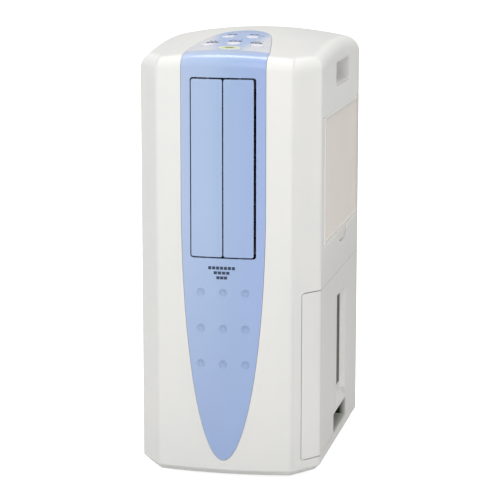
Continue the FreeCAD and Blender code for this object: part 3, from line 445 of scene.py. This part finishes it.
def film_material():
    """printed control film: blue in the middle and at the back, pale lavender at the sides"""
    film_front_y = -0.184

    k = Shader("control_film")
    x, y, _ = k.xyz()
    # a fan of blue whose half-width grows to the rear
    half_width = k.remap(y, (film_front_y, -0.010), (0.018, 0.052))
    outside = k.math("SUBTRACT", k.math("ABSOLUTE", x), half_width)
    fan = k.remap(outside, (-0.010, 0.014), (1.0, 0.0), smooth=True)
    depth = k.remap(y, (film_front_y, -0.110), (0.25, 1.0), smooth=True)
    blue = k.mix(depth, srgb(180, 189, 215), srgb(158, 179, 218))
    back = k.remap(y, (-0.060, 0.0), smooth=True)
    blue = k.mix(back, blue, srgb(138, 159, 201))
    side = k.mottle(k.noise(40.0), srgb(203, 205, 212), srgb(210, 211, 216))
    k.surface("Base Color", k.mix(fan, side, blue))
    k.surface("Roughness", k.spread(k.noise(50.0), 0.30, 0.37))
    k.bump(k.noise(1600.0), strength=0.05, distance=0.0003, bevel=0.0006)
    k.surface("Coat Weight", 0.15)
    return k.material


def net_material():
    """woven air-filter net: fine square weave in colour and bump"""
    weave_period = 0.0024

    k = Shader("filter_net")
    _, y, z = k.xyz()
    waves = [k.math("ABSOLUTE", k.math("SINE", k.mul(v, 2 * math.pi / weave_period)))
             for v in (y, z)]
    weave = k.math("MAXIMUM", *waves)
    soft = k.noise(12.0, detail=3.0)
    gap = k.mottle(soft, srgb(226, 219, 210), srgb(230, 223, 214))
    thread = k.mottle(soft, srgb(240, 233, 226), srgb(242, 236, 229))
    k.surface("Base Color", k.mix(k.remap(weave, (0.55, 0.95)), gap, thread))
    k.surface("Roughness", 0.78)
    k.bump(weave, strength=0.35, distance=0.0004)
    return k.material


def window_material():
    """dark level window, a little darker to its top"""
    k = Shader("gauge_window")
    height = k.remap(k.xyz()[2], (0.094, 0.252))
    k.surface("Base Color", k.mix(height, srgb(86, 84, 79), srgb(70, 69, 65)))
    k.surface("Roughness", k.spread(k.noise(80.0), 0.30, 0.40))
    k.surface("Specular IOR Level", 0.10)
    k.surface("IOR", 1.25)
    k.bump(k.noise(500.0), strength=0.02, distance=0.0003, bevel=0.0006)
    return k.material


def tank_material():
    k = Shader("tank_translucent")
    base = srgb(214, 222, 226)
    k.surface("Base Color", k.mottle(k.noise(9.0, detail=3.0), tint(base, 0.95), base))
    k.surface("Roughness", k.spread(k.noise(70.0), 0.28, 0.38))
    k.surface("Subsurface Weight", 0.35)
    k.surface("Subsurface Radius", (0.006, 0.006, 0.007))
    k.surface("Coat Weight", 0.2)
    k.bump(k.noise(300.0), strength=0.04, distance=0.0003, bevel=0.0008)
    return k.material


# moulded() and metal() take the name, the sRGB colour and the roughness;
# moulded() then takes the grain scale and the grain's bump strength
MATERIALS = {
    # the shell's colour carries painted shade, darker towards the foot and on faces turned up
    "shell": moulded("shell_white", (240, 240, 237), 0.40, 1500, 0.08, coat=0.10, crease=True,
                     painted_shade=(0.04, 0.64, 0.878, 0.990)),
    "side": moulded("side_white", (233, 232, 230), 0.44, 1500, 0.10, foot_darkening=0.15, crease=True),
    "base": moulded("base_white", (226, 225, 222), 0.50, 1200, 0.14, foot_darkening=0.3, crease=True),
    "inlay": inlay_material("inlay_blue", bevel=0.0010),
    "inlay_front": inlay_material("inlay_blue_front", dimples=True),
    "film": film_material(),
    "key_white": moulded("key_white", (232, 232, 242), 0.26, 2200, 0.03, coat=0.4),
    "key_green": power_material(),
    "cover": cover_material(),
    "lens": moulded("lens_dark", (70, 76, 98), 0.18, 2200, 0.02, coat=0.6, bevel=0.0004),
    "dark": moulded("frame_dark", (30, 42, 60), 0.55, 900, 0.16),
    "filter": filter_material(),
    "side_right": panel_material(),
    "net": net_material(),
    "window": window_material(),
    "tank": tank_material(),
    "black": moulded("black_plastic", (34, 34, 36), 0.5, 900, 0.2),
    "grey": moulded("grey_plastic", (150, 152, 156), 0.48, 1100, 0.14),
    "foam": moulded("foam_white", (228, 228, 224), 0.8, 420, 0.5, bevel=0.002),
    "zinc": metal("galvanised", (176, 180, 184), 0.38),
    "steel": metal("zinc_steel", (186, 188, 190), 0.30, brushed=(1, 1, 18)),
    "aluminium": metal("fin_aluminium", (200, 203, 206), 0.32, brushed=(30, 1, 1)),
    "copper": metal("copper", (196, 120, 84), 0.30, brushed=(1, 1, 6)),
    "paint": moulded("black_paint", (26, 26, 28), 0.34, 260, 0.12, coat=0.3),
    "rubber": moulded("rubber_black", (30, 30, 31), 0.72, 700, 0.3),
    "board": moulded("board_green", (44, 96, 62), 0.42, 500, 0.1),
}

# material key: the pieces that wear it
WEARERS = {
    "shell": "front_panel upper_casing",
    "side": "left_side_panel rear_panel handle_cups exhaust_collar tank_lid",
    "base": "base_pan",
    "inlay": "louvre_left louvre_right",
    "inlay_front": "front_inlay",
    "film": "control_bezel",
    "key_white": "mode_button timer_button airflow_button louvre_button dry_button",
    "key_green": "power_button",
    "cover": "tank_cover",
    "lens": "indicator_lenses",
    "dark": "louvre_frame outlet_guard",
    "filter": "filter_frame",
    "side_right": "right_side_panel",
    "net": "filter_mesh",
    "window": "level_window",
    "tank": "tank_container",
    "black": "exhaust_fan full_switch",
    "grey": "louvre_link blower_wheel fan_shroud tank_handle drain_spout",
    "foam": "blower_housing drain_tray air_divider tank_float",
    "zinc": "bay_partition control_box",
    "steel": "louvre_motor blower_motor exhaust_motor case_screws",
    "aluminium": "evaporator condenser",
    "copper": "accumulator_and_pipes",
    "paint": "compressor",
    "rubber": "compressor_mounts power_cord",
    "board": "control_board main_board",
}
material_of = {piece: key for key, names in WEARERS.items() for piece in names.split()}

for name, piece in pieces.items():
    # pieces not listed are black plastic if they are wheels, otherwise galvanised
    material = MATERIALS[material_of.get(name, "black" if "wheel" in name else "zinc")]
    if not piece.material_slots:
        piece.data.materials.append(material)
    for slot in piece.material_slots:
        slot.material = material


# ------------------------------------------------------------------ printed bars
PRINT_LIFT = 0.00012        # print stands this far off its surface
FRONT_THICK = 0.00035
TOP_THICK = 0.0003
FRONT_SHIFT = -0.0013       # the front rows start this far to -X
FRONT_STEP = 0.004          # length of one piece of a curved bar

# z, half length of the row, bars, share of its pitch each bar fills, half height
FRONT_ROWS = (
    (0.3358, 0.0216, 7, 0.78, 0.0024),
    (0.3283, 0.0130, 4, 0.80, 0.0023),
    (0.3207, 0.0088, 3, 0.86, 0.0023),
)
# centre x, centre y, width, bars, share of its pitch each bar fills, half depth
TOP_ROWS = (
    (-0.0345, -0.1320, 0.020, 3, 0.80, 0.0032),
    (0.0345, -0.1320, 0.020, 3, 0.80, 0.0032),
    (0.0, -0.1240, 0.022, 3, 0.80, 0.0032),
    (-0.0170, -0.0660, 0.016, 2, 0.80, 0.0032),
    (0.0180, -0.0660, 0.016, 2, 0.80, 0.0032),
    (-0.0345, -0.1245, 0.012, 2, 0.7, 0.0014),
    (0.0345, -0.1245, 0.012, 2, 0.7, 0.0014),
    (0.0320, -0.0740, 0.010, 2, 0.7, 0.0014),
)
# film height is read at the corner, or else 1 mm to one side of it
PROBES = ((0, 0), (0.001, 0), (-0.001, 0), (0, 0.001), (0, -0.001))


def new_object(name, bm, material):
    mesh = bpy.data.meshes.new(name)
    bm.to_mesh(mesh)
    bm.free()
    ob = bpy.data.objects.new(name, mesh)
    scene.collection.objects.link(ob)
    mesh.materials.append(material)
    return ob


def front_y(x):
    """y of the curved front face"""
    return FRONT_Y - BULGE + FRONT_RADIUS - math.sqrt(FRONT_RADIUS ** 2 - x * x)


def front_bar(bm, x0, x1, z0, z1):
    """thin bar lying on the curved front"""
    steps = max(2, int((x1 - x0) / FRONT_STEP))
    sections = []
    for i in range(steps + 1):
        x = x0 + (x1 - x0) * i / steps
        outer = front_y(x) - PRINT_LIFT
        sections.append([bm.verts.new((x, y, z))
                         for y in (outer, outer + FRONT_THICK) for z in (z0, z1)])
    for a, b in zip(sections, sections[1:]):
        bm.faces.new((a[0], b[0], b[1], a[1]))
        bm.faces.new((a[3], b[3], b[2], a[2]))
        bm.faces.new((a[0], a[2], b[2], b[0]))
        bm.faces.new((a[1], b[1], b[3], a[3]))
    for section, order in ((sections[0], (0, 1, 3, 2)), (sections[-1], (0, 2, 3, 1))):
        bm.faces.new([section[i] for i in order])


def film_height(x, y):
    for dx, dy in PROBES:
        hit, point, _, _ = pieces["control_bezel"].ray_cast(
            Vector((x + dx, y + dy, 0.80)), Vector((0, 0, -1)))
        if hit:
            return point.z
    return None


def top_bar(bm, x0, x1, y0, y1):
    """thin bar lying on the control film; left out where a corner finds no film"""
    corners = [(x, y, film_height(x, y)) for x, y in ((x0, y0), (x1, y0), (x1, y1), (x0, y1))]
    if any(z is None for _, _, z in corners):
        return
    top = [bm.verts.new((x, y, z + PRINT_LIFT)) for x, y, z in corners]
    bottom = [bm.verts.new((x, y, z + PRINT_LIFT - TOP_THICK)) for x, y, z in corners]
    bm.faces.new(top)
    bm.faces.new(list(reversed(bottom)))
    for i in range(4):
        j = (i + 1) % 4
        bm.faces.new((top[i], bottom[i], bottom[j], top[j]))


ink = moulded("print_dark", (50, 62, 88), 0.4, 1800, 0.03, bevel=0.0002)

bm = bmesh.new()
for z, half, count, fill, half_height in FRONT_ROWS:
    pitch = 2 * half / count
    start = -half + FRONT_SHIFT
    for i in range(count):
        front_bar(bm, start + i * pitch, start + (i + fill) * pitch,
                  z - half_height, z + half_height)
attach(new_object("front_print", bm, ink), "chassis")

# ray_cast needs the pieces evaluated
bpy.context.evaluated_depsgraph_get()
bm = bmesh.new()
for x, y, width, count, fill, half_depth in TOP_ROWS:
    pitch = width / count
    for i in range(count):
        start = x - width / 2 + i * pitch
        top_bar(bm, start, start + pitch * fill, y - half_depth, y + half_depth)
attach(new_object("key_print", bm, ink), "chassis")


# ------------------------------------------------------------------ stage
FLOOR_HALF = 14.0
FLOOR_Z = -0.0005


def floor_material():
    """matt floor, lifted to white for the camera only, so it adds no light of its own"""
    k = Shader("studio_floor")
    k.surface("Base Color", srgb(236, 236, 236))
    k.surface("Roughness", 0.9)
    k.surface("Specular IOR Level", 0.0)
    k.surface("Emission Color", (1, 1, 1, 1))
    camera_ray = k.add("ShaderNodeLightPath").outputs["Is Camera Ray"]
    k.surface("Emission Strength", k.mul(camera_ray, 0.86))
    return k.material


bm = bmesh.new()
bm.faces.new([bm.verts.new((sx * FLOOR_HALF, sy * FLOOR_HALF, 0))
              for sx, sy in ((-1, -1), (1, -1), (1, 1), (-1, 1))])
floor = new_object("studio_floor", bm, floor_material())
floor.location.z = FLOOR_Z


def build_world(light_strength, camera_strength):
    """white surroundings, with one strength for lighting and one seen by the camera"""
    world = bpy.data.worlds.new("studio")
    scene.world = world
    world.use_nodes = True
    nodes, links = world.node_tree.nodes, world.node_tree.links
    nodes.clear()
    output = nodes.new("ShaderNodeOutputWorld")
    mix = nodes.new("ShaderNodeMixShader")
    path = nodes.new("ShaderNodeLightPath")
    links.new(path.outputs["Is Camera Ray"], mix.inputs[0])
    for i, strength in ((1, light_strength), (2, camera_strength)):
        background = nodes.new("ShaderNodeBackground")
        background.inputs[0].default_value = (1, 1, 1, 1)
        background.inputs[1].default_value = strength
        links.new(background.outputs[0], mix.inputs[i])
    links.new(mix.outputs[0], output.inputs[0])


def area(name, location, target, power, size, size_y=None, glossy=False):
    """area light; glossy lets it show in reflections"""
    light = bpy.data.lights.new(name, "AREA")
    light.energy = power
    light.size = size
    if size_y:
        light.shape = "RECTANGLE"
        light.size_y = size_y
    ob = bpy.data.objects.new(name, light)
    ob.location = location
    aim = Vector(target) - Vector(location)
    ob.rotation_euler = aim.to_track_quat("-Z", "Y").to_euler()
    scene.collection.objects.link(ob)
    ob.visible_glossy = glossy


def build_camera(location, yaw, pitch, roll, lens):
    """yaw turns the view from +Y towards -X, pitch tips it down; angles in degrees"""
    camera = bpy.data.cameras.new("camera")
    ob = bpy.data.objects.new("camera", camera)
    scene.collection.objects.link(ob)
    yaw, pitch, roll = (math.radians(a) for a in (yaw, pitch, roll))
    forward = Vector((-math.sin(yaw) * math.cos(pitch), math.cos(yaw) * math.cos(pitch),
                      -math.sin(pitch)))
    level = Vector((math.cos(yaw), math.sin(yaw), 0))
    upright = level.cross(forward)
    right = level * math.cos(roll) + upright * math.sin(roll)
    up = -level * math.sin(roll) + upright * math.cos(roll)
    turn = Matrix((right, up, -forward)).transposed()
    ob.matrix_world = Matrix.Translation(Vector(location)) @ turn.to_4x4()
    camera.lens = lens
    camera.sensor_width = 36.0
    camera.clip_end = 60
    scene.camera = ob


build_world(light_strength=0.60, camera_strength=1.0)
area("key", location=(0.1, -2.6, 2.3), target=(0, 0, 0.55), power=30, size=1.6, size_y=1.2)
area("top", location=(0.05, 0.22, 2.6), target=(0.0, -0.15, 0.62), power=15.5, size=1.7,
     size_y=0.62, glossy=True)
area("fill", location=(-2.4, -1.6, 1.3), target=(0, 0, 0.45), power=7.2, size=1.2)
area("rim", location=(2.3, -2.0, 1.3), target=(0, 0, 0.4), power=5, size=0.35, size_y=1.8)
build_camera(location=(0.6767, -3.2484, 0.9443), yaw=11.826, pitch=10.587, roll=0.063,
             lens=148.95)
scene.view_settings.view_transform = "Standard"
scene.view_settings.look = "None"
